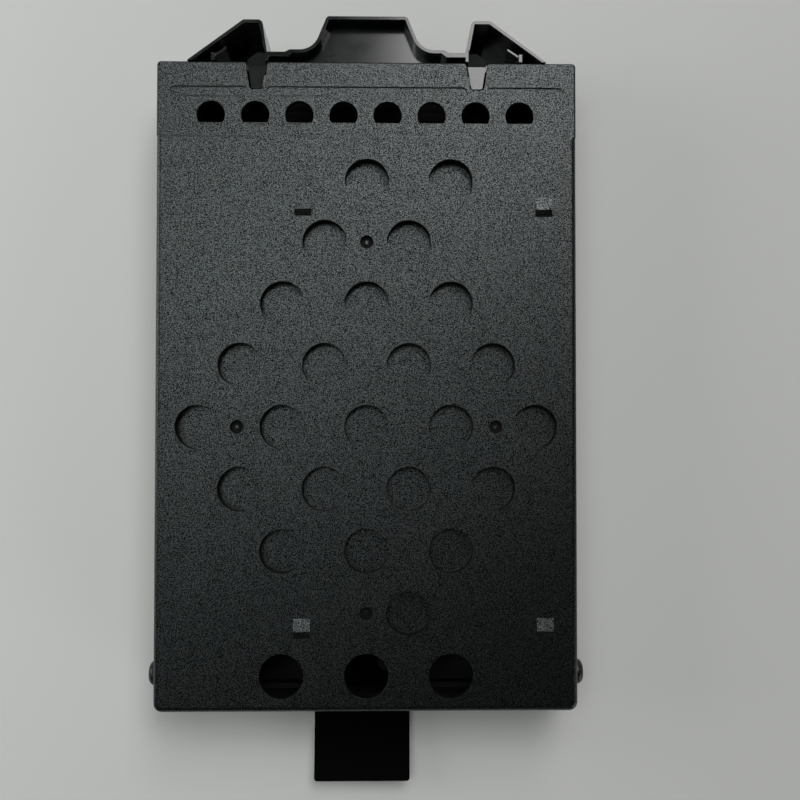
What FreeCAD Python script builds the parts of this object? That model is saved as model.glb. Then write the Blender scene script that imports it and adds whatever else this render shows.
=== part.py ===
import FreeCAD, Part
import math
import os

import Sketcher

# Caddy for a 2.5-inch drive, lying with its textured face up.
# X runs across, Y towards the connector end, Z up; z = 0 is the face it rests on.

doc = FreeCAD.newDocument("drive_caddy")
vec = FreeCAD.Vector

sizes = doc.addObject("Spreadsheet::Sheet", "sizes")
places = doc.addObject("Spreadsheet::Sheet", "places")


def fill(sheet, rows):
    for row, (alias, value) in enumerate(rows.items(), start=1):
        sheet.set("A%d" % row, alias)
        sheet.set("B%d" % row, str(value))
        sheet.setAlias("B%d" % row, alias)


dimensions = {
    # the drive that goes in, and the room around it
    "drive_width": 69.85,
    "drive_length": 100.2,
    "drive_thick": 9.5,
    "drive_play": 0.36,
    "drive_headroom": 0.3,
    "rear_space": 6.25,
    "front_reach": 7.1,
    # shells
    "tray_wall": 1.2,
    "top_wall": 1.5,
    "shell_gap": 0.1,
    "rim_wall": 1,
    "rim_height": 2.6,
    "cover_plate": 1.8,
    "cover_round": 0.7,
    "edge_round": 1,
    "rear_corner": 1.5,
    "front_corner": 0.7,
    "strip_round": 0.4,
    "strip_length": 13.45,
    "strip_drop": 0.2,
    "lip_length": 0.32,
    "lip_drop": 0.08,
    # field of cups
    "cup_diameter": 7.9,
    "cup_pitch": 15,
    "cup_row": 11,
    "cup_depth": 2.4,
    "cup_floor": 0.8,
    "cup_wall": 1.1,
    "field_shift": -7.575,
    "ring_diameter": 5.1,
    "ring_depth": 0.2,
    "gate_diameter": 2.4,
    "gate_nub": 0.7,
    "gate_depth": 1.1,
    "gate_rise": 0.5,
    "gate_across": 23,
    "bump_width": 3,
    "bump_length": 3.5,
    "bump_height": 0.45,
    "bump_drop": 1.2,
    "bump_round": 0.25,
    "bump_left": -11.4,
    "bump_right": 31.7,
    "bump_front": 31.825,
    "bump_rear": -43.175,
    # strip: vents, grooves and key notches
    "vent_diameter": 5.1,
    "vent_pitch": 7.9,
    "vent_shift": -0.25,
    "vent_inset": 9.7,
    "vent_ledge": 1.15,
    "vent_recess": 0.15,
    "ledge_fall": 0.3,
    "ledge_depth": 2.2,
    "groove_width": 1.6,
    "groove_depth": 0.3,
    "groove_inset": 5.3,
    "groove_margin": 2.4,
    "groove_land": 0.3,
    "groove_tuck": 0.3,
    "notch_inner": 17.7,
    "notch_width": 4.1,
    "notch_taper": 0.8,
    "notch_length": 5.05,
    "notch_round": 0.6,
    # nose on the cover
    "key_gap": 0.28,
    "key_drop": 0.25,
    "key_face": 0.75,
    "ramp_length": 2.9,
    "ramp_drop": 1.2,
    "ramp_corner": 1.6,
    "nose_drop": 0.1,
    "nose_wall": 0.55,
    "ledge_wall": 0.8,
    "brow_depth": 3,
    "brow_floor": 1.3,
    "ledge_reach": 2.15,
    "ledge_step": 0.45,
    "step_at": 14.3,
    "tongue_reach": 8.2,
    "tongue_tip": 7.2,
    "tongue_root": 9.7,
    "tongue_flare": 3.6,
    "tongue_corner": 0.7,
    "ear_depth": 11,
    "ear_floor": 0.9,
    "ear_reach": 7.5,
    "ear_foot": 32.2,
    "ear_tip_out": 22.2,
    "ear_tip_in": 18.8,
    "ear_corner": 0.9,
    "ear_post": 27.6,
    "ear_post_width": 0.6,
    "ear_post_reach": 1.4,
    "ear_fin_in": 25.3,
    "ear_fin_out": 27.3,
    "ear_fin_reach": 2.6,
    "ear_fin_lean": 1.3,
    "ear_fin_wall": 0.4,
    "ear_fin_drop": 0.4,
    "front_wall": 1.2,
    # mark left in the tongue's floor by the ejector
    "mark_diameter": 3,
    "mark_depth": 0.15,
    "mark_across": -5.7,
    "mark_inset": 1.05,
    # drive screws
    "drive_hole": 3.4,
    "drive_hole_across": 61.72,
    "drive_hole_front": 14,
    "drive_hole_apart": 76.6,
    "drive_sink": 1.3,
    # side screws and their inserts
    "screw_inset": 5.3,
    "screw_level": 8,
    "screw_length": 6,
    "screw_shank": 2.4,
    "screw_head": 4.6,
    "screw_head_height": 2.1,
    "screw_head_edge": 0.9,
    "screw_clearance": 2.9,
    "cross_width": 0.7,
    "cross_span": 2.6,
    "cross_depth": 1.1,
    "insert_diameter": 3.6,
    "insert_bore": 2.5,
    "insert_length": 4.5,
    "insert_groove": 0.3,
    "press_gap": 0.02,
    "boss_length": 7.4,
    "boss_half": 2.9,
    # pull tab
    "tab_width": 18,
    "tab_shift": -1,
    "tab_film": 0.3,
    "tab_reach": 16.4,
    "tab_flat": 1,
    "tab_bend": 70,
    "tab_inside": 8.2,
    "tab_corner": 0.6,
    "tab_slot_gap": 0.3,
    "stake_diameter": 2,
    "stake_apart": 9,
    "stake_inset": 5.5,
    "stake_head": 3.4,
    "stake_head_height": 0.5,
    "stake_gap": 0.05,
    # extra length of a cut beyond the face it opens, and of a rib into the wall it joins
    "cut_over": 1,
    "join_over": 0.5,
}
fill(sizes, dimensions)
doc.recompute()


def size(name):
    return float(getattr(sizes, name))


fill(places, {
    "half_width": "=sizes.drive_width / 2 + sizes.drive_play + sizes.rim_wall"
                  " + sizes.shell_gap + sizes.tray_wall",
    "rear_build": "=sizes.tray_wall + sizes.shell_gap + sizes.rim_wall + sizes.rear_space",
    "half_length": "=(rear_build + sizes.drive_length + sizes.front_reach) / 2",
    "face": "=sizes.cover_plate + sizes.drive_thick + sizes.drive_headroom"
            " + sizes.cup_floor + sizes.cup_depth",
    "ceiling": "=face - sizes.top_wall",
    "strip_top": "=face - sizes.strip_drop",
    "strip_y": "=half_length - sizes.strip_length",
    "drive_rear": "=-half_length + rear_build",
    "drive_front": "=drive_rear + sizes.drive_length",
    "inner_x": "=half_width - sizes.tray_wall",
    "inner_y": "=half_length - sizes.tray_wall",
    "rim_x": "=inner_x - sizes.shell_gap",
    "rim_y": "=inner_y - sizes.shell_gap",
    "vent_y": "=half_length - sizes.vent_inset",
    "groove_y": "=half_length - sizes.groove_inset",
    "notch_outer": "=sizes.notch_inner + sizes.notch_width",
    "notch_y": "=half_length - sizes.notch_length",
    "nose_back": "=half_length + sizes.shell_gap",
    "nose_rim": "=face - sizes.nose_drop",
    "brow_top": "=nose_rim - sizes.brow_depth",
    "ear_under": "=nose_rim - sizes.ear_depth",
    "ledge_y": "=half_length + sizes.ledge_reach",
    "tongue_y": "=half_length + sizes.tongue_reach",
    "ear_y": "=half_length + sizes.ear_reach",
    "screw_y": "=-half_length + sizes.screw_inset",
    "tab_y": "=-half_length - sizes.tab_reach",
    "tab_top": "=sizes.cover_plate + sizes.tab_film",
    "bend_y": "=-half_length - sizes.tab_flat",
    "key_top": "=strip_top - sizes.key_drop",
    "key_back": "=notch_y + sizes.key_gap",
    "key_in": "=sizes.notch_inner + sizes.key_gap",
    "key_out": "=notch_outer - sizes.key_gap",
    "ramp_y": "=half_length - sizes.key_face",
    "ramp_end": "=ramp_y + sizes.ramp_length",
    "ramp_foot": "=key_top - sizes.ramp_drop",
    "ear_base": "=ear_under + sizes.ear_floor",
    "brow_under": "=brow_top - sizes.brow_floor",
    "brow_x": "=sizes.notch_inner + sizes.nose_wall / 2",
    "step_y": "=ledge_y - sizes.ledge_step",
    "front_y": "=half_length - sizes.front_wall",
    "hole_front": "=drive_front - sizes.drive_hole_front",
    "hole_rear": "=hole_front - sizes.drive_hole_apart",
    "stake_y": "=-half_length + sizes.stake_inset",
})
doc.recompute()


def place(name):
    return float(getattr(places, name))


def body(label):
    made = doc.addObject("PartDesign::Body", label)
    made.Label = label
    return made


def plane(owner, role):
    return [o for o in owner.Origin.OriginFeatures if o.Role == role][0]


def sketch(owner, name, role="XY_Plane", level="0"):
    made = owner.newObject("Sketcher::SketchObject", name)
    made.AttachmentSupport = [(plane(owner, role), "")]
    made.MapMode = "FlatFace"
    made.setExpression("AttachmentOffset.Base.z", level)
    return made


def bind(drawn, kind, args, name, rule, start=1.0):
    index = drawn.addConstraint(Sketcher.Constraint(kind, *args, start))
    drawn.renameConstraint(index, name)
    drawn.setExpression("Constraints." + name, rule)


def polygon(drawn, name, corners):
    """Closed outline; each corner is a pair of rules measured from the origin."""
    count = len(corners)
    lines = []
    for i in range(count):
        turn = [2 * math.pi * k / count for k in (i, i + 1)]
        ends = [vec(math.cos(a), math.sin(a), 0) for a in turn]
        lines.append(drawn.addGeometry(Part.LineSegment(*ends), False))
    for i in range(count):
        drawn.addConstraint(
            Sketcher.Constraint("Coincident", lines[i], 2, lines[(i + 1) % count], 1))
    for i, (across, along) in enumerate(corners):
        bind(drawn, "DistanceX", (-1, 1, lines[i], 1), "%s_x%d" % (name, i), across)
        bind(drawn, "DistanceY", (-1, 1, lines[i], 1), "%s_y%d" % (name, i), along)


def rectangle(drawn, name, left, right, low, high):
    polygon(drawn, name, [(left, low), (right, low), (right, high), (left, high)])


def circle(drawn, name, across, along, diameter):
    ring = drawn.addGeometry(Part.Circle(vec(1, 1, 0), vec(0, 0, 1), 1), False)
    bind(drawn, "DistanceX", (-1, 1, ring, 3), name + "_x", across)
    bind(drawn, "DistanceY", (-1, 1, ring, 3), name + "_y", along)
    index = drawn.addConstraint(Sketcher.Constraint("Diameter", ring, 2.0))
    drawn.renameConstraint(index, name + "_d")
    drawn.setExpression("Constraints.%s_d" % name, diameter)


def feature(owner, kind, drawn, name, length, reverse=False, midplane=False):
    made = owner.newObject("PartDesign::" + kind, name)
    made.Profile = drawn
    made.Reversed = reverse
    if midplane:
        made.Midplane = True
    made.setExpression("Length", length)
    drawn.Visibility = False
    doc.recompute()
    return made


def pad(owner, drawn, name, length, reverse=False, midplane=False):
    return feature(owner, "Pad", drawn, name, length, reverse, midplane)


def pocket(owner, drawn, name, length, reverse=False, midplane=False):
    before = owner.Shape.Volume
    made = feature(owner, "Pocket", drawn, name, length, reverse, midplane)
    if not owner.Shape.Volume < before - 1e-6:
        raise RuntimeError(name + " cuts nothing")
    return made


def dressed(owner, kind, name, chosen, rule):
    """Fillet or chamfer on the edges of the body's tip that the test picks."""
    base = owner.Tip
    names = []
    for i, edge in enumerate(base.Shape.Edges, start=1):
        if chosen(edge):
            names.append("Edge%d" % i)
    if not names:
        raise RuntimeError(name + " finds no edge")
    made = owner.newObject("PartDesign::" + kind, name)
    made.Base = (base, names)
    made.setExpression("Radius" if kind == "Fillet" else "Size", rule)
    doc.recompute()
    return made


def near(a, b):
    return abs(a - b) < 0.02


def upright(edge, spots):
    """True for an edge along Z that stands over one of the spots."""
    first, last = edge.Vertexes[0].Point, edge.Vertexes[-1].Point
    if not (near(first.x, last.x) and near(first.y, last.y) and abs(first.z - last.z) > 0.1):
        return False
    return any(near(first.x, x) and near(first.y, y) for x, y in spots)


def flat_at(edge, level):
    box = edge.BoundBox
    return near(box.ZMin, level) and near(box.ZMax, level)


def mirrored(spots):
    return [(side * x, y) for x, y in spots for side in (-1, 1)]


# Tray
tray = body("tray")
half_width, half_length = place("half_width"), place("half_length")

plan = sketch(tray, "tray_plan", level="sizes.cover_plate")
rectangle(plan, "outline", "-places.half_width", "places.half_width",
          "-places.half_length", "places.strip_y")
pad(tray, plan, "tray_block", "places.face - sizes.cover_plate")
dressed(tray, "Fillet", "rear_corners",
        lambda e: upright(e, mirrored([(half_width, -half_length)])), "sizes.rear_corner")
dressed(tray, "Fillet", "face_edges",
        lambda e: flat_at(e, place("face")) and not near(e.BoundBox.YMin, place("strip_y")),
        "sizes.edge_round")

plan = sketch(tray, "strip_plan", level="sizes.cover_plate")
rectangle(plan, "outline", "-places.half_width", "places.half_width",
          "places.strip_y", "places.half_length")
pad(tray, plan, "strip_block", "places.strip_top - sizes.cover_plate")
dressed(tray, "Fillet", "front_corners",
        lambda e: upright(e, mirrored([(half_width, half_length)])), "sizes.front_corner")
dressed(tray, "Fillet", "strip_edges",
        lambda e: flat_at(e, place("strip_top")) and not near(e.BoundBox.YMax, place("strip_y")),
        "sizes.strip_round")



def lip(name, edge, level, left, right):
    """Slopes the upper edge of a step that faces the connector, from left to right."""
    side = sketch(tray, name + "_side", "YZ_Plane", left)
    polygon(side, name, [
        (edge + " - sizes.lip_length", level),
        (edge, level + " - sizes.lip_drop"),
        (edge + " + sizes.lip_length", level + " - sizes.lip_drop"),
        (edge + " + sizes.lip_length", level + " + sizes.cut_over"),
        (edge + " - sizes.lip_length", level + " + sizes.cut_over"),
    ])
    pocket(tray, side, name, "(%s) - (%s)" % (right, left), reverse=True)


lip("step_lip", "places.strip_y", "places.face", "-places.half_width", "places.half_width")

plan = sketch(tray, "bay_plan", level="sizes.cover_plate")
rectangle(plan, "bay", "-places.inner_x", "places.inner_x",
          "-places.inner_y", "places.half_length + sizes.cut_over")
pocket(tray, plan, "bay", "places.ceiling - sizes.cover_plate", reverse=True)

# rows of the cup field, counted from its middle row in half pitches across
field = [
    (4, (0, 2)),
    (3, (-1, 1)),
    (2, (-2, 0, 2)),
    (1, (-3, -1, 1, 3)),
    (0, (-4, -2, 0, 2, 4)),
    (-1, (-3, -1, 1, 3)),
    (-2, (-2, 0, 2)),
    (-3, (1,)),
]


def field_circles(drawn, rows, diameter):
    for row, halves in rows:
        for half in halves:
            name = ("cup_%d_%d" % (row, half)).replace("-", "less")
            circle(drawn, name, "%d * sizes.cup_pitch / 2" % half,
                   "sizes.field_shift + %d * sizes.cup_row" % row, diameter)


plan = sketch(tray, "cup_backs", level="places.ceiling")
field_circles(plan, field, "sizes.cup_diameter + 2 * sizes.cup_wall")
pad(tray, plan, "cup_bodies", "sizes.cup_depth + sizes.cup_floor - sizes.top_wall", reverse=True)
plan = sketch(tray, "cup_mouths", level="places.face")
field_circles(plan, field, "sizes.cup_diameter")
pocket(tray, plan, "cups", "sizes.cup_depth")
plan = sketch(tray, "ring_plan", level="places.face")
field_circles(plan, field[-1:], "sizes.ring_diameter")
pocket(tray, plan, "ring", "sizes.cup_depth + sizes.ring_depth")
plan = sketch(tray, "through_plan", level="places.face")
field_circles(plan, [(-4, (-2, 0, 2))], "sizes.cup_diameter")
pocket(tray, plan, "through_holes", "sizes.top_wall + sizes.cut_over")

gates = [
    ("0", "sizes.field_shift + 3 * sizes.cup_row"),
    ("0", "sizes.field_shift - 3 * sizes.cup_row"),
    ("-sizes.gate_across", "sizes.field_shift"),
    ("sizes.gate_across", "sizes.field_shift"),
]
plan = sketch(tray, "gate_plan", level="places.face")
stubs = sketch(tray, "gate_stub_plan", level="places.face - sizes.gate_depth")
for i, (across, along) in enumerate(gates):
    circle(plan, "dish%d" % i, across, along, "sizes.gate_diameter")
    circle(stubs, "stub%d" % i, across, along, "sizes.gate_nub")
pocket(tray, plan, "gate_dishes", "sizes.gate_depth")
pad(tray, stubs, "gate_stubs", "sizes.gate_rise")

# low ridges: a long slope on the connector side and a shorter, steeper one behind it
for across in ("bump_left", "bump_right"):
    side = sketch(tray, across + "_side", "YZ_Plane", "sizes.%s" % across)
    for along in ("bump_front", "bump_rear"):
        heel = "sizes.%s - sizes.bump_length / 2" % along
        polygon(side, along, [
            ("sizes.%s + sizes.bump_length / 2" % along, "places.face"),
            (heel + " + sizes.bump_drop", "places.face + sizes.bump_height"),
            (heel, "places.face"),
        ])
    pad(tray, side, across + "_pair", "sizes.bump_width", midplane=True)
dressed(tray, "Fillet", "bump_crests",
        lambda e: flat_at(e, place("face") + size("bump_height")), "sizes.bump_round")

# vents: round through holes, then a cross rib under the strip closes the inner part of each
vents = [k - 3.5 for k in range(8)]
plan = sketch(tray, "vent_plan", level="places.strip_top")
for i, step in enumerate(vents):
    circle(plan, "vent%d" % i, "sizes.vent_shift + %.1f * sizes.vent_pitch" % step, "places.vent_y",
           "sizes.vent_diameter")
pocket(tray, plan, "vents", "sizes.top_wall + sizes.cut_over")
side = sketch(tray, "ledge_side", "YZ_Plane")
ledge_back = "places.vent_y - sizes.vent_diameter / 2 - sizes.join_over"
ledge_front = "places.vent_y - sizes.vent_ledge"
ledge_under = "places.strip_top - sizes.ledge_depth"
ledge_high = "places.strip_top - sizes.vent_recess"
polygon(side, "ledge", [
    (ledge_back, ledge_under),
    (ledge_front, ledge_under),
    (ledge_front, ledge_high + " - sizes.ledge_fall - sizes.lip_drop"),
    (ledge_front + " - sizes.lip_length", ledge_high + " - sizes.ledge_fall"),
    (ledge_back, ledge_high),
])
pad(tray, side, "vent_ledge", "2 * (places.rim_x - sizes.join_over)", midplane=True)

# grooves, in three runs between the notches and the sides
runs = [
    ("-places.half_width + sizes.groove_margin", "-places.notch_outer + sizes.groove_tuck"),
    ("-sizes.notch_inner - sizes.groove_land", "sizes.notch_inner + sizes.groove_land"),
    ("places.notch_outer - sizes.groove_tuck", "places.half_width - sizes.groove_margin"),
]
plan = sketch(tray, "groove_plan", level="places.strip_top")
ends = sketch(tray, "groove_ends", level="places.strip_top")
for i, (left, right) in enumerate(runs):
    rectangle(plan, "run%d" % i, left + " + sizes.groove_width / 2",
              right + " - sizes.groove_width / 2",
              "places.groove_y - sizes.groove_width / 2",
              "places.groove_y + sizes.groove_width / 2")
    circle(ends, "left%d" % i, left + " + sizes.groove_width / 2", "places.groove_y",
           "sizes.groove_width")
    circle(ends, "right%d" % i, right + " - sizes.groove_width / 2", "places.groove_y",
           "sizes.groove_width")
pocket(tray, plan, "grooves", "sizes.groove_depth")
pocket(tray, ends, "groove_tips", "sizes.groove_depth")
for i, (left, right) in enumerate(runs):
    lip("groove_lip%d" % i, "places.groove_y - sizes.groove_width / 2", "places.strip_top",
        left + " + sizes.groove_width / 2", right + " - sizes.groove_width / 2")

plan = sketch(tray, "notch_plan", level="places.strip_top")
for name, sign in (("left", "-"), ("right", "")):
    polygon(plan, name, [
        (sign + "sizes.notch_inner", "places.half_length + sizes.cut_over"),
        (sign + "sizes.notch_inner", "places.half_length"),
        (sign + "(sizes.notch_inner + sizes.notch_taper)", "places.notch_y"),
        (sign + "(places.notch_outer - sizes.notch_taper)", "places.notch_y"),
        (sign + "places.notch_outer", "places.half_length"),
        (sign + "places.notch_outer", "places.half_length + sizes.cut_over"),
    ])
pocket(tray, plan, "notches", "sizes.top_wall + sizes.cut_over")
notch_corners = [(size("notch_inner") + size("notch_taper"), place("notch_y")),
                 (place("notch_outer") - size("notch_taper"), place("notch_y"))]
dressed(tray, "Fillet", "notch_rounds", lambda e: upright(e, mirrored(notch_corners)),
        "sizes.notch_round")

side = sketch(tray, "screw_hole_side", "YZ_Plane")
circle(side, "hole", "places.screw_y", "sizes.screw_level", "sizes.screw_clearance")
pocket(tray, side, "screw_holes", "2 * places.half_width + 2 * sizes.cut_over", midplane=True)

slot_left = "sizes.tab_shift - sizes.tab_width / 2 - sizes.tab_slot_gap"
slot_right = "sizes.tab_shift + sizes.tab_width / 2 + sizes.tab_slot_gap"
slot_height = "sizes.tab_film + sizes.tab_slot_gap"
plan = sketch(tray, "slot_plan", level="sizes.cover_plate")
rectangle(plan, "slot", slot_left, slot_right,
          "-places.half_length - sizes.cut_over", "-places.inner_y + sizes.join_over")
pocket(tray, plan, "tab_slot", slot_height, reverse=True)

# Cover
cover = body("cover")
plan = sketch(cover, "cover_plan")
rectangle(plan, "outline", "-places.half_width", "places.half_width",
          "-places.half_length", "places.half_length")
pad(cover, plan, "cover_block", "sizes.cover_plate")
dressed(cover, "Fillet", "cover_rear_corners",
        lambda e: upright(e, mirrored([(half_width, -half_length)])), "sizes.rear_corner")
dressed(cover, "Fillet", "cover_front_corners",
        lambda e: upright(e, mirrored([(half_width, half_length)])), "sizes.front_corner")
dressed(cover, "Fillet", "cover_edges", lambda e: flat_at(e, 0), "sizes.cover_round")

plan = sketch(cover, "rim_plan", level="sizes.cover_plate")
polygon(plan, "rim", [
    ("-places.rim_x", "-places.rim_y"),
    ("places.rim_x", "-places.rim_y"),
    ("places.rim_x", "places.half_length"),
    ("places.rim_x - sizes.rim_wall", "places.half_length"),
    ("places.rim_x - sizes.rim_wall", "-places.rim_y + sizes.rim_wall"),
    ("-places.rim_x + sizes.rim_wall", "-places.rim_y + sizes.rim_wall"),
    ("-places.rim_x + sizes.rim_wall", "places.half_length"),
    ("-places.rim_x", "places.half_length"),
])
pad(cover, plan, "rim", "sizes.rim_height")
plan = sketch(cover, "rim_gap_plan", level="sizes.cover_plate")
rectangle(plan, "gap", slot_left, slot_right, "-places.rim_y - sizes.cut_over",
          "-places.rim_y + sizes.rim_wall + sizes.cut_over")
pocket(cover, plan, "rim_gap", "sizes.rim_height + sizes.cut_over", reverse=True)

# tapered keys on posts beside the connector window, with a ramp down into each ear
for name, sign, reverse in (("left", "-", False), ("right", "", True)):
    side = sketch(cover, name + "_key_side", "YZ_Plane", sign + "places.key_in")
    polygon(side, "key", [
        ("places.key_back", "sizes.cover_plate"),
        ("places.half_length", "sizes.cover_plate"),
        ("places.half_length", "places.ear_under + sizes.ear_floor / 2"),
        ("places.ramp_end", "places.ear_under + sizes.ear_floor / 2"),
        ("places.ramp_end", "places.ramp_foot"),
        ("places.ramp_y", "places.key_top"),
        ("places.key_back", "places.key_top"),
    ])
    pad(cover, side, name + "_key", "places.key_out - places.key_in", reverse=not reverse)
plan = sketch(cover, "taper_plan", level="places.key_top")
for name, sign in (("left", "-"), ("right", "")):
    for edge, x, lean in (("in", "places.key_in", "+"), ("out", "places.key_out", "-")):
        polygon(plan, name + edge, [
            (sign + x, "places.half_length"),
            (sign + x, "places.key_back"),
            ("%s(%s %s sizes.notch_taper)" % (sign, x, lean), "places.key_back"),
        ])
pocket(cover, plan, "key_tapers", "places.key_top - sizes.cover_plate")
key_corners = [(place("key_in") + size("notch_taper"), place("key_back")),
               (place("key_out") - size("notch_taper"), place("key_back"))]
dressed(cover, "Fillet", "key_rounds", lambda e: upright(e, mirrored(key_corners)),
        "sizes.notch_round - sizes.key_gap")

# front wall on both sides of the window, and the roots of the nose below the strip
plan = sketch(cover, "front_plan", level="sizes.cover_plate")
roots = sketch(cover, "ear_root_plan", level="places.ear_under")
for name, sign in (("left", "-"), ("right", "")):
    rectangle(plan, name, sign + "sizes.notch_inner", sign + "places.rim_x",
              "places.front_y", "places.half_length")
    rectangle(roots, name, sign + "sizes.notch_inner", sign + "sizes.ear_foot",
              "places.front_y", "places.nose_back + sizes.nose_wall / 2")
pad(cover, plan, "front_walls", "places.ceiling - sizes.shell_gap - sizes.cover_plate")
pad(cover, roots, "ear_roots", "places.brow_top - places.ear_under")
plan = sketch(cover, "brow_root_plan", level="places.brow_under")
rectangle(plan, "root", "-places.brow_x", "places.brow_x",
          "places.front_y", "places.nose_back + sizes.nose_wall / 2")
pad(cover, plan, "brow_root", "sizes.brow_floor")

# ears, ledge and tongue
plan = sketch(cover, "ear_plan", level="places.ear_under")
for name, sign in (("left", "-"), ("right", "")):
    polygon(plan, name, [
        (sign + "sizes.notch_inner", "places.nose_back"),
        (sign + "sizes.ear_tip_in", "places.ear_y"),
        (sign + "sizes.ear_tip_out", "places.ear_y"),
        (sign + "sizes.ear_foot", "places.nose_back"),
    ])
pad(cover, plan, "ears", "sizes.ear_depth")
dressed(cover, "Fillet", "ear_corners",
        lambda e: upright(e, mirrored([(size("ear_tip_in"), place("ear_y")),
                                       (size("ear_tip_out"), place("ear_y"))])),
        "sizes.ear_corner")

half_brow = [
    ("places.brow_x", "places.nose_back"),
    ("places.brow_x", "places.step_y"),
    ("sizes.step_at + sizes.ledge_step", "places.step_y"),
    ("sizes.step_at - sizes.ledge_step", "places.ledge_y"),
    ("sizes.tongue_root", "places.ledge_y"),
    ("sizes.tongue_tip", "places.tongue_y"),
]
half_trough = [
    ("sizes.notch_inner", "places.nose_back"),
    ("sizes.notch_inner", "places.step_y - sizes.ledge_wall"),
    ("sizes.step_at", "places.step_y - sizes.ledge_wall"),
    ("sizes.step_at - 2 * sizes.ledge_step", "places.ledge_y - sizes.nose_wall"),
    ("sizes.tongue_root - 2 * sizes.nose_wall / 3", "places.ledge_y - sizes.nose_wall"),
    ("sizes.tongue_tip - 2 * sizes.nose_wall / 3", "places.tongue_y - sizes.nose_wall"),
]


def both_sides(corners):
    return corners + [("-(%s)" % x, y) for x, y in reversed(corners)]


plan = sketch(cover, "brow_plan", level="places.brow_under")
polygon(plan, "brow", both_sides(half_brow))
pad(cover, plan, "brow", "places.nose_rim - places.brow_under")
dressed(cover, "Fillet", "tongue_flares",
        lambda e: upright(e, mirrored([(size("tongue_root"), place("ledge_y"))])),
        "sizes.tongue_flare")
dressed(cover, "Fillet", "tongue_corners",
        lambda e: upright(e, mirrored([(size("tongue_tip"), place("tongue_y"))])),
        "sizes.tongue_corner")
plan = sketch(cover, "trough_plan", level="places.nose_rim")
polygon(plan, "trough", both_sides(half_trough))
pocket(cover, plan, "trough", "sizes.brow_depth")
root_in = size("tongue_root") - 2 * size("nose_wall") / 3
dressed(cover, "Fillet", "trough_flares",
        lambda e: upright(e, mirrored([(root_in, place("ledge_y") - size("nose_wall"))])),
        "sizes.tongue_flare + sizes.nose_wall")
plan = sketch(cover, "mark_plan", level="places.brow_top")
circle(plan, "mark", "sizes.mark_across", "places.half_length + sizes.mark_inset",
       "sizes.mark_diameter")
pocket(cover, plan, "mark", "sizes.mark_depth")

plan = sketch(cover, "ear_inside", level="places.nose_rim")
for name, sign in (("left", "-"), ("right", "")):
    polygon(plan, name, [
        (sign + "places.key_out", "places.nose_back"),
        (sign + "places.key_out", "places.ramp_end - sizes.ramp_corner"),
        (sign + "(places.key_out - sizes.ramp_corner)", "places.ramp_end"),
        (sign + "(sizes.notch_inner + 1.3 * sizes.nose_wall)", "places.ramp_end"),
        (sign + "(sizes.ear_tip_in + sizes.nose_wall)", "places.ear_y - sizes.nose_wall"),
        (sign + "(sizes.ear_tip_out - sizes.nose_wall / 3)", "places.ear_y - sizes.nose_wall"),
        (sign + "(sizes.ear_foot - 1.3 * sizes.nose_wall)", "places.nose_back"),
    ])
pocket(cover, plan, "ear_hollows", "sizes.ear_depth - sizes.ear_floor")
for name, sign, reverse in (("left", "-", False), ("right", "", True)):
    side = sketch(cover, name + "_ramp_side", "YZ_Plane",
                  sign + "(sizes.notch_inner + sizes.nose_wall)")
    polygon(side, "ramp", [
        ("places.ramp_y", "places.key_top"),
        ("places.ramp_end", "places.ramp_foot"),
        ("places.ramp_end", "places.face + sizes.cut_over"),
        ("places.ramp_y", "places.face + sizes.cut_over"),
    ])
    pocket(cover, side, name + "_ramp", "places.key_out - sizes.notch_inner - sizes.nose_wall",
           reverse=reverse)
posts = sketch(cover, "ear_post_plan", level="places.ear_base")
fins = sketch(cover, "ear_fin_plan", level="places.ear_base")
for name, sign in (("left", "-"), ("right", "")):
    rectangle(posts, name, sign + "(sizes.ear_post - sizes.ear_post_width / 2)",
              sign + "(sizes.ear_post + sizes.ear_post_width / 2)",
              "places.nose_back", "places.nose_back + sizes.ear_post_reach")
    far = "places.nose_back + sizes.ear_fin_reach"
    polygon(fins, name, [
        (sign + "sizes.ear_fin_in", far),
        (sign + "sizes.ear_fin_out", far + " - sizes.ear_fin_lean"),
        (sign + "sizes.ear_fin_out", far + " - sizes.ear_fin_lean - sizes.ear_fin_wall"),
        (sign + "sizes.ear_fin_in", far + " - sizes.ear_fin_wall"),
    ])
pad(cover, posts, "ear_posts", "places.nose_rim - places.ear_base")
pad(cover, fins, "ear_fins", "places.nose_rim - places.ear_base - sizes.ear_fin_drop")

# rear bosses for the side screws
plan = sketch(cover, "boss_plan", level="sizes.cover_plate")
for name, sign in (("left", "-"), ("right", "")):
    rectangle(plan, name, "%s(places.rim_x - sizes.boss_length)" % sign, sign + "places.rim_x",
              "-places.rim_y", "places.screw_y + sizes.boss_half")
pad(cover, plan, "bosses", "sizes.screw_level + sizes.boss_half - sizes.cover_plate")
for name, sign, reverse in (("left", "-", True), ("right", "", False)):
    for hole, diameter, depth in (
            ("seat", "sizes.insert_diameter + 2 * sizes.press_gap", "sizes.insert_length"),
            ("pilot", "sizes.insert_bore", "sizes.screw_length")):
        side = sketch(cover, "%s_%s_side" % (name, hole), "YZ_Plane", sign + "places.rim_x")
        circle(side, hole, "places.screw_y", "sizes.screw_level", diameter)
        pocket(cover, side, "%s_%s" % (name, hole), depth, reverse=reverse)

# drive screw holes, sunk from the outside
plan = sketch(cover, "drive_hole_plan")
for i, y in enumerate(("places.hole_front", "places.hole_rear")):
    circle(plan, "left%d" % i, "-sizes.drive_hole_across / 2", y, "sizes.drive_hole")
    circle(plan, "right%d" % i, "sizes.drive_hole_across / 2", y, "sizes.drive_hole")
pocket(cover, plan, "drive_holes", "sizes.cover_plate", reverse=True)
dressed(cover, "Chamfer", "drive_sinks",
        lambda e: flat_at(e, 0) and near(e.Length, math.pi * size("drive_hole")),
        "sizes.drive_sink")

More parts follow.
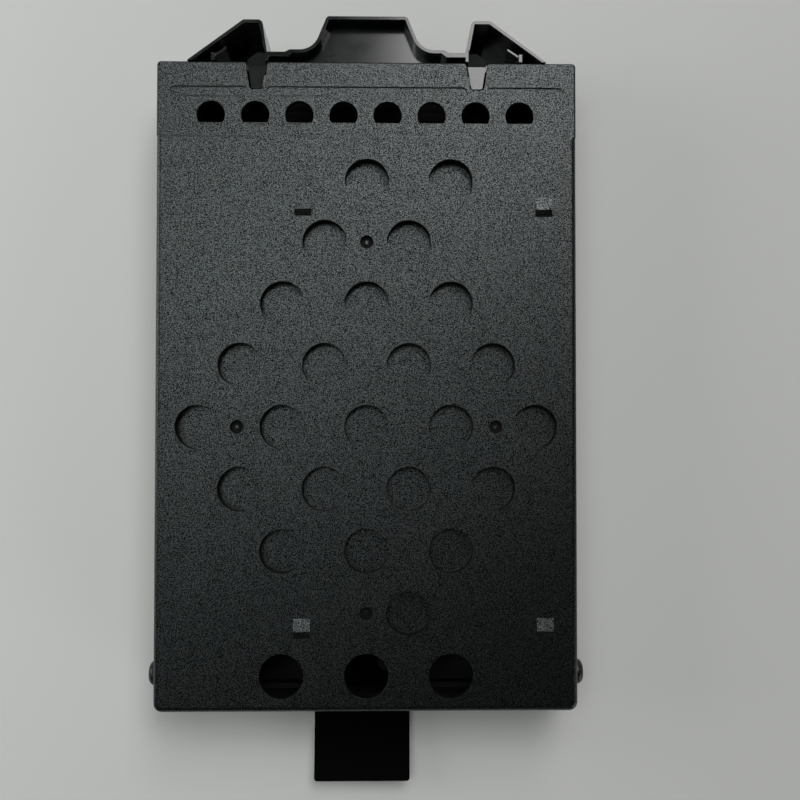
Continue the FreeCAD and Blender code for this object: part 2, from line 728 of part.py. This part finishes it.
# stakes that hold the pull tab down
plan = sketch(cover, "stake_plan", level="sizes.cover_plate")
heads = sketch(cover, "stake_head_plan", level="places.tab_top + sizes.stake_gap")
for name, sign in (("left", "-"), ("right", "+")):
    spot = "sizes.tab_shift %s sizes.stake_apart / 2" % sign
    circle(plan, name, spot, "places.stake_y", "sizes.stake_diameter")
    circle(heads, name, spot, "places.stake_y", "sizes.stake_head")
pad(cover, plan, "stakes", "sizes.tab_film + 2 * sizes.stake_gap")
pad(cover, heads, "stake_heads", "sizes.stake_head_height")
stake_top = place("tab_top") + size("stake_gap") + size("stake_head_height")
dressed(cover, "Fillet", "stake_domes", lambda e: flat_at(e, stake_top),
        "0.8 * sizes.stake_head_height")

# Pull tab: flat between the shells, then a slow bend upwards
pull_tab = body("pull_tab")
side = sketch(pull_tab, "tab_side", "YZ_Plane", "sizes.tab_shift")
bend, film = size("tab_bend"), size("tab_film")
start, turn, tip = -half_length + size("tab_inside"), place("bend_y"), place("tab_y")
low, high = size("cover_plate"), place("tab_top")
mid = vec(turn, low + bend, 0)


def on_bend(y, radius):
    return vec(y, mid.y - math.sqrt(radius ** 2 - (y - turn) ** 2), 0)


tip_in = turn + (tip - turn) * (bend - film) / bend
ground = side.addGeometry(Part.LineSegment(vec(start, low, 0), vec(turn, low, 0)), False)
outer = side.addGeometry(
    Part.Arc(on_bend(tip, bend), on_bend((tip + turn) / 2, bend), vec(turn, low, 0)), False)
end = side.addGeometry(
    Part.LineSegment(on_bend(tip, bend), on_bend(tip_in, bend - film)), False)
inner = side.addGeometry(
    Part.Arc(on_bend(tip_in, bend - film), on_bend((tip_in + turn) / 2, bend - film),
             vec(turn, high, 0)), False)
upper = side.addGeometry(Part.LineSegment(vec(turn, high, 0), vec(start, high, 0)), False)
back = side.addGeometry(Part.LineSegment(vec(start, high, 0), vec(start, low, 0)), False)
for first, second in (((ground, 2), (outer, 2)), ((outer, 1), (end, 1)), ((end, 2), (inner, 1)),
                      ((inner, 2), (upper, 1)), ((upper, 2), (back, 1)), ((back, 2), (ground, 1))):
    side.addConstraint(Sketcher.Constraint("Coincident", *first, *second))
for name, spot, x, y, at in (
        ("start", (ground, 1), "-places.half_length + sizes.tab_inside", "sizes.cover_plate",
         (start, low)),
        ("turn", (ground, 2), "places.bend_y", "sizes.cover_plate", (turn, low)),
        ("turn_up", (upper, 1), "places.bend_y", "places.tab_top", (turn, high)),
        ("start_up", (upper, 2), "-places.half_length + sizes.tab_inside", "places.tab_top",
         (start, high))):
    bind(side, "DistanceX", (-1, 1) + spot, name + "_x", x, at[0])
    bind(side, "DistanceY", (-1, 1) + spot, name + "_y", y, at[1])
for name, arc in (("outer", outer), ("inner", inner)):
    bind(side, "DistanceX", (-1, 1, arc, 3), name + "_cx", "places.bend_y", mid.x)
    bind(side, "DistanceY", (-1, 1, arc, 3), name + "_cy", "sizes.cover_plate + sizes.tab_bend",
         mid.y)
bind(side, "DistanceX", (-1, 1, end, 1), "tip", "places.tab_y", tip)
bind(side, "DistanceX", (-1, 1, end, 2), "tip_in",
     "places.bend_y + (places.tab_y - places.bend_y) * (sizes.tab_bend - sizes.tab_film)"
     " / sizes.tab_bend", tip_in)
pad(pull_tab, side, "strip", "sizes.tab_width", midplane=True)
plan = sketch(pull_tab, "tab_hole_plan", level="places.tab_top")
for name, sign in (("left", "-"), ("right", "+")):
    circle(plan, name, "sizes.tab_shift %s sizes.stake_apart / 2" % sign, "places.stake_y",
           "sizes.stake_diameter + 2 * sizes.stake_gap")
pocket(pull_tab, plan, "tab_holes", "sizes.tab_film")
dressed(pull_tab, "Fillet", "tab_corners",
        lambda e: e.Length < 1.5 * film and e.BoundBox.YMax < tip + film, "sizes.tab_corner")


# Side screws and their inserts, each drawn upright and laid over to its side
def lathe(label, points):
    made = body(label)
    half = sketch(made, label + "_half", "XZ_Plane")
    polygon(half, "half", points)
    turned = made.newObject("PartDesign::Revolution", label + "_turned")
    turned.Profile = half
    turned.ReferenceAxis = (half, ["V_Axis"])
    turned.Angle = 360
    doc.recompute()
    return made


def lay(piece, sign, x):
    piece.Placement = FreeCAD.Placement(
        vec(0, 0, 0), FreeCAD.Rotation(vec(0, 1, 0), 90 if sign == "" else -90))
    piece.setExpression("Placement.Base.x", sign + x)
    piece.setExpression("Placement.Base.y", "places.screw_y")
    piece.setExpression("Placement.Base.z", "sizes.screw_level")


screws, inserts = [], []
for name, sign in (("left", "-"), ("right", "")):
    screw = lathe("side_screw_" + name, [
        ("0", "-sizes.screw_length"),
        ("sizes.screw_shank / 2", "-sizes.screw_length"),
        ("sizes.screw_shank / 2", "0"),
        ("sizes.screw_head / 2", "0"),
        ("sizes.screw_head / 2", "sizes.screw_head_height"),
        ("0", "sizes.screw_head_height"),
    ])
    dressed(screw, "Fillet", screw.Label + "_dome",
            lambda e: flat_at(e, size("screw_head_height")),
            "sizes.screw_head_height - sizes.screw_head_edge")
    plan = sketch(screw, screw.Label + "_cross", level="sizes.screw_head_height")
    wide, long = "sizes.cross_width / 2", "sizes.cross_span / 2"
    polygon(plan, "cross", [
        (long, "-" + wide), (long, wide), (wide, wide), (wide, long),
        ("-" + wide, long), ("-" + wide, wide), ("-" + long, wide), ("-" + long, "-" + wide),
        ("-" + wide, "-" + wide), ("-" + wide, "-" + long), (wide, "-" + long), (wide, "-" + wide),
    ])
    pocket(screw, plan, screw.Label + "_drive", "sizes.cross_depth")
    lay(screw, sign, "places.half_width")
    screws.append(screw)

    ring, core = "sizes.insert_diameter / 2", "sizes.insert_bore / 2"
    waist = ring + " - sizes.insert_groove"
    insert = lathe("insert_" + name, [
        (core, "-sizes.insert_length"),
        (ring, "-sizes.insert_length"),
        (ring, "-0.6 * sizes.insert_length"),
        (waist, "-0.6 * sizes.insert_length"),
        (waist, "-0.4 * sizes.insert_length"),
        (ring, "-0.4 * sizes.insert_length"),
        (ring, "0"),
        (core, "0"),
    ])
    lay(insert, sign, "places.rim_x")
    inserts.append(insert)

doc.recompute()
bad = [o.Label for o in doc.Objects if "Invalid" in o.State or "Error" in o.State]
if bad:
    raise RuntimeError("not built: " + ", ".join(bad))
os.makedirs("parts", exist_ok=True)
for piece in [tray, cover, pull_tab] + screws + inserts:
    if piece.Shape.isNull() or not piece.Shape.isValid():
        raise RuntimeError("bad shape: " + piece.Label)
    piece.Shape.exportStep("parts/%s.step" % piece.Label)
    print(piece.Label, round(piece.Shape.Volume, 1), len(piece.Shape.Solids), piece.Shape.BoundBox)
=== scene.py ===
"""Hard drive caddy on a pale floor, seen from straight above."""
import math

import bpy
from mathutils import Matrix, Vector


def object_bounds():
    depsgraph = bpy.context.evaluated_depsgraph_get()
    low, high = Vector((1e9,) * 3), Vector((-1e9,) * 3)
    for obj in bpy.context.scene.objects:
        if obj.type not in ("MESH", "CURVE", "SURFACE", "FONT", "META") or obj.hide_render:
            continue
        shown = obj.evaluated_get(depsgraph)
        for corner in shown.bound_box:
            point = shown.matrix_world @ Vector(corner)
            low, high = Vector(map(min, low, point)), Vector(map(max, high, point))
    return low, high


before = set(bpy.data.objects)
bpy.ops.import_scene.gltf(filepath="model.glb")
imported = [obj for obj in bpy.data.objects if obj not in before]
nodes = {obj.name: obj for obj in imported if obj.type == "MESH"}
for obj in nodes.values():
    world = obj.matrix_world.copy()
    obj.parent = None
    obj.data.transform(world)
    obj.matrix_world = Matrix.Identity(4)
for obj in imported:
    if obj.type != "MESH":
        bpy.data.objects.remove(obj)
cad_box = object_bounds()

# Textures and edges, lengths in metres
MM = 0.001
GRAIN_SIZE = 0.16 * MM
GRAIN_DEPTH = 0.04 * MM
GRAIN_TURN = (0.5, 0.35, 0.2)
FLOW_SIZE = 6 * MM
FLOW_DEPTH = 0.02 * MM
FINE_SIZE = 0.3 * MM
FILM_DEPTH = 0.01 * MM
FAINT = 0.3
MARK_SIZE = 0.5 * MM
TARNISH_SIZE = 1.2 * MM
EDGE_SOFTNESS = 0.08 * MM

# The part of a noise's range that holds most of its values
NOISE_LOW = 0.3
NOISE_HIGH = 0.7

# Inside of the shell, as the part's source places it, and the upward share of a face's normal
INSIDE_X = 36.5 * MM
INSIDE_Y = -3 * MM
INSIDE_LENGTH = 108 * MM
INSIDE_FLOOR = 1.5 * MM
GATE_FLOOR = 13.7 * MM
LEVEL_PLAY = 0.02 * MM
STEEP = 0.5
FLAT = 0.9

# Floor, light and camera
FLOOR_SIZE = 3.0
FLOOR_SHADE = 80 * MM
FLOOR_CLOUD = 60 * MM
# Floor colour on the left, and the painted shade it fades to on the right
FLOOR_LIT_LEFT = (0.60, 0.60, 0.585)
FLOOR_SHADED_RIGHT = (0.49, 0.49, 0.473)
CEILING = 1.0
ORIGIN = (0, 0, 0)
WHITE = (1.0, 1.0, 1.0)
COOL = (0.95, 1.0, 0.99)
COOLER = (0.93, 1.0, 0.99)
HORIZON_LIGHT = 0.4
DARK_FROM = 0.6
SENSOR = 36.0
LENS = 40.5
NEAREST = 0.01
CAMERA_PLACE = (3.19 * MM, -6.385 * MM, 174.79 * MM)
CAMERA_DEGREES = (1.294, -0.987, 0.033)


def grey(value):
    return (value, value, value)


# Shader nodes
def new_material(name):
    """A node material with its shader, and one coordinate source in the object's own metres."""
    made = bpy.data.materials.new(name)
    made.use_nodes = True
    tree = made.node_tree
    shader = tree.nodes["Principled BSDF"]
    coords = tree.nodes.new("ShaderNodeTexCoord")
    return made, tree, shader, coords.outputs["Object"]


def noise(tree, coords, size, detail=2.0):
    made = tree.nodes.new("ShaderNodeTexNoise")
    made.inputs["Scale"].default_value = 1.0 / size
    made.inputs["Detail"].default_value = detail
    tree.links.new(coords, made.inputs["Vector"])
    return made.outputs["Fac"]


def turned(tree, coords, angles):
    """Coordinates at a slant, so that no flat face lies along the noise's own lattice."""
    made = tree.nodes.new("ShaderNodeMapping")
    made.inputs["Rotation"].default_value = angles
    tree.links.new(coords, made.inputs["Vector"])
    return made.outputs["Vector"]


def ramp(tree, value, stops):
    made = tree.nodes.new("ShaderNodeValToRGB")
    for element, (place, colour) in zip(made.color_ramp.elements, stops):
        element.position = place
        element.color = (*colour, 1.0)
    tree.links.new(value, made.inputs["Fac"])
    return made.outputs["Color"]


def map_range(tree, value, source, target):
    made = tree.nodes.new("ShaderNodeMapRange")
    made.inputs["From Min"].default_value, made.inputs["From Max"].default_value = source
    made.inputs["To Min"].default_value, made.inputs["To Max"].default_value = target
    tree.links.new(value, made.inputs["Value"])
    return made.outputs["Result"]


def bump(tree, height, depth, strength=1.0, below=None):
    made = tree.nodes.new("ShaderNodeBump")
    made.inputs["Distance"].default_value = depth
    made.inputs["Strength"].default_value = strength
    tree.links.new(height, made.inputs["Height"])
    if below is not None:
        tree.links.new(below, made.inputs["Normal"])
    return made.outputs["Normal"]


def soft_edges(tree):
    """Normals that turn over the moulding's edges, which no mould leaves quite sharp."""
    made = tree.nodes.new("ShaderNodeBevel")
    made.samples = 4
    made.inputs["Radius"].default_value = EDGE_SOFTNESS
    return made.outputs["Normal"]


def vary(tree, shader, texture, colours, roughness):
    """Lets a texture drive the colour, between two stops, and the roughness."""
    tree.links.new(ramp(tree, texture, colours), shader.inputs["Base Color"])
    rough = map_range(tree, texture, (NOISE_LOW, NOISE_HIGH), roughness)
    tree.links.new(rough, shader.inputs["Roughness"])


# Materials
def textured_black():
    """Moulded black plastic with a spark-eroded grain, and painted shade in the grain's pits,
    where a specular tint makes them reflect less than its tops.
    """
    made, tree, shader, coords = new_material("textured_black")
    grain = noise(tree, turned(tree, coords, GRAIN_TURN), GRAIN_SIZE, detail=1.0)
    colours = [(0.38, (0.0004, 0.0005, 0.0005)), (0.65, (0.003, 0.0034, 0.0034))]
    vary(tree, shader, grain, colours, (0.36, 0.28))
    # Painted shade: this specular tint darkens the reflection in the grain's pits.
    tops = ramp(tree, grain, [(0.45, (0.03, 0.032, 0.032)), (0.57, (0.93, 1.0, 1.0))])
    tree.links.new(tops, shader.inputs["Specular Tint"])
    tree.links.new(bump(tree, grain, GRAIN_DEPTH, below=soft_edges(tree)), shader.inputs["Normal"])
    shader.inputs["Specular IOR Level"].default_value = 0.85
    return made


def smooth_black():
    """The same plastic from a polished mould, with faint flow marks."""
    made, tree, shader, coords = new_material("smooth_black")
    flow = noise(tree, coords, FLOW_SIZE, detail=4.0)
    colours = [(0.35, (0.002, 0.0025, 0.0025)), (0.65, (0.005, 0.006, 0.006))]
    vary(tree, shader, flow, colours, (0.13, 0.17))
    tree.links.new(bump(tree, flow, FLOW_DEPTH, FAINT, soft_edges(tree)), shader.inputs["Normal"])
    shader.inputs["Specular IOR Level"].default_value = 0.57
    return made


def painted_shade_black():
    """The same plastic, dark and with little reflection, as painted shade on the shell's inside,
    its recess walls and the gate floors.
    """
    made, tree, shader, coords = new_material("painted_shade_black")
    fine = noise(tree, coords, FINE_SIZE)
    vary(tree, shader, fine, [(0.35, grey(0.001)), (0.65, grey(0.002))], (0.60, 0.70))
    shader.inputs["Specular IOR Level"].default_value = 0.15
    return made


def black_film():
    """Matt plastic film."""
    made, tree, shader, coords = new_material("black_film")
    fine = noise(tree, coords, FINE_SIZE)
    vary(tree, shader, fine, [(0.35, grey(0.0001)), (0.65, grey(0.0003))], (0.38, 0.46))
    tree.links.new(bump(tree, fine, FILM_DEPTH, FAINT), shader.inputs["Normal"])
    shader.inputs["Specular IOR Level"].default_value = 0.02
    return made


def black_steel():
    """Blackened screw steel with faint marks."""
    made, tree, shader, coords = new_material("black_steel")
    marks = noise(tree, coords, MARK_SIZE, detail=3.0)
    colours = [(0.35, (0.012, 0.012, 0.013)), (0.65, (0.028, 0.028, 0.030))]
    vary(tree, shader, marks, colours, (0.30, 0.42))
    shader.inputs["Metallic"].default_value = 0.6
    return made


def insert_brass():
    """Bare turned brass."""
    made, tree, shader, coords = new_material("insert_brass")
    tarnish = noise(tree, coords, TARNISH_SIZE, detail=4.0)
    colours = [(0.3, (0.46, 0.30, 0.11)), (0.7, (0.66, 0.47, 0.20))]
    vary(tree, shader, tarnish, colours, (0.26, 0.42))
    shader.inputs["Metallic"].default_value = 1.0
    return made


def dress(names, material):
    for name in names:
        slots = nodes[name].data.materials
        slots.clear()
        slots.append(material)


def line_inside(name, material, flattest=1.0):
    """Gives a second material to the faces inside the shell's outline that aren't too flat."""
    mesh = nodes[name].data
    mesh.materials.append(material)
    for face in mesh.polygons:
        x, y, z = face.center
        inside = abs(x) < INSIDE_X and abs(y - INSIDE_Y) < INSIDE_LENGTH / 2 and z > INSIDE_FLOOR
        if inside and abs(face.normal.z) <= flattest:
            face.material_index = 1


def line_level(name, level):
    """Gives the second material to the flat faces at one height."""
    for face in nodes[name].data.polygons:
        if face.normal.z > FLAT and abs(face.center.z - level) < LEVEL_PLAY:
            face.material_index = 1


# Painted shade: a dark, low-reflecting material on the shell's inside, the recess walls and the
# gate floors, where shade falls.
painted_shade = painted_shade_black()
dress(["tray"], textured_black())
dress(["cover"], smooth_black())
line_inside("cover", painted_shade)
line_inside("tray", painted_shade, STEEP)
line_level("tray", GATE_FLOOR)
dress(["pull_tab"], black_film())
dress(["side_screw_left", "side_screw_right"], black_steel())
dress(["insert_left", "insert_right"], insert_brass())


# Floor
def floor_material():
    """Pale card with painted shade: it greys a little from left to right, where the light falls
    off.
    """
    made, tree, shader, coords = new_material("pale_floor")
    across = tree.nodes.new("ShaderNodeSeparateXYZ")
    tree.links.new(coords, across.inputs["Vector"])
    # Painted shade: the colour darkens from left to right in place of the light's falloff.
    side = map_range(tree, across.outputs["X"], (-FLOOR_SHADE, FLOOR_SHADE), (0.0, 1.0))
    colour = ramp(tree, side, [(0.0, FLOOR_LIT_LEFT), (1.0, FLOOR_SHADED_RIGHT)])
    tree.links.new(colour, shader.inputs["Base Color"])
    cloud = noise(tree, coords, FLOOR_CLOUD)
    rough = map_range(tree, cloud, (NOISE_LOW, NOISE_HIGH), (0.85, 0.95))
    tree.links.new(rough, shader.inputs["Roughness"])
    shader.inputs["Specular IOR Level"].default_value = 0.1
    return made


bpy.ops.mesh.primitive_plane_add(size=FLOOR_SIZE, location=(0, 0, cad_box[0][2]))
floor = bpy.context.object
floor.name = "floor"
floor.data.materials.append(floor_material())


# Light
def softbox(name, place, target, size, power, colour=WHITE):
    data = bpy.data.lights.new(name, "AREA")
    data.shape = "RECTANGLE"
    data.size, data.size_y = size
    data.energy = power
    data.color = colour
    lamp = bpy.data.objects.new(name, data)
    bpy.context.scene.collection.objects.link(lamp)
    lamp.location = place
    lamp.rotation_euler = (Vector(target) - Vector(place)).to_track_quat("-Z", "Y").to_euler()


def overhead(name, x, y, size, power, colour=WHITE):
    """A panel in the ceiling that shines straight down."""
    softbox(name, (x, y, CEILING), (x, y, 0), size, power, colour)


overhead("ceiling_panel", 0.29, 0.54, (0.54, 0.40), 4.7)
overhead("left_panel", -0.28, 0.74, (0.5, 0.32), 1.6, COOL)
overhead("ceiling_glow", -0.17, 0.22, (0.5, 0.18), 2.0, COOL)
overhead("dim_ceiling", -0.38, -0.06, (0.5, 0.36), 0.8, COOLER)
softbox("far_panel", (0.25, 0.95, 0.90), ORIGIN, (0.5, 0.5), 4.5)
softbox("side_panel", (-1.0, 0.2, 0.35), ORIGIN, (0.6, 0.4), 3.5)
softbox("near_panel", (0.85, -0.75, 0.3), ORIGIN, (0.6, 0.4), 2.0)


def studio_world():
    """Soft light all round at eye level, dark overhead."""
    world = bpy.data.worlds.new("studio")
    world.use_nodes = True
    tree = world.node_tree
    coords = tree.nodes.new("ShaderNodeTexCoord")
    height = tree.nodes.new("ShaderNodeSeparateXYZ")
    tree.links.new(coords.outputs["Generated"], height.inputs["Vector"])
    shade = ramp(tree, height.outputs["Z"], [(0.0, grey(HORIZON_LIGHT)), (DARK_FROM, grey(0.0))])
    tree.links.new(shade, tree.nodes["Background"].inputs["Color"])
    return world


bpy.context.scene.world = studio_world()

# Camera, straight above and a little off the middle
camera = bpy.data.objects.new("camera", bpy.data.cameras.new("camera"))
bpy.context.scene.collection.objects.link(camera)
camera.data.sensor_width = SENSOR
camera.data.lens = LENS
camera.data.clip_start = NEAREST
camera.location = CAMERA_PLACE
camera.rotation_euler = [math.radians(angle) for angle in CAMERA_DEGREES]
bpy.context.scene.camera = camera
bpy.context.scene.view_settings.view_transform = "Standard"
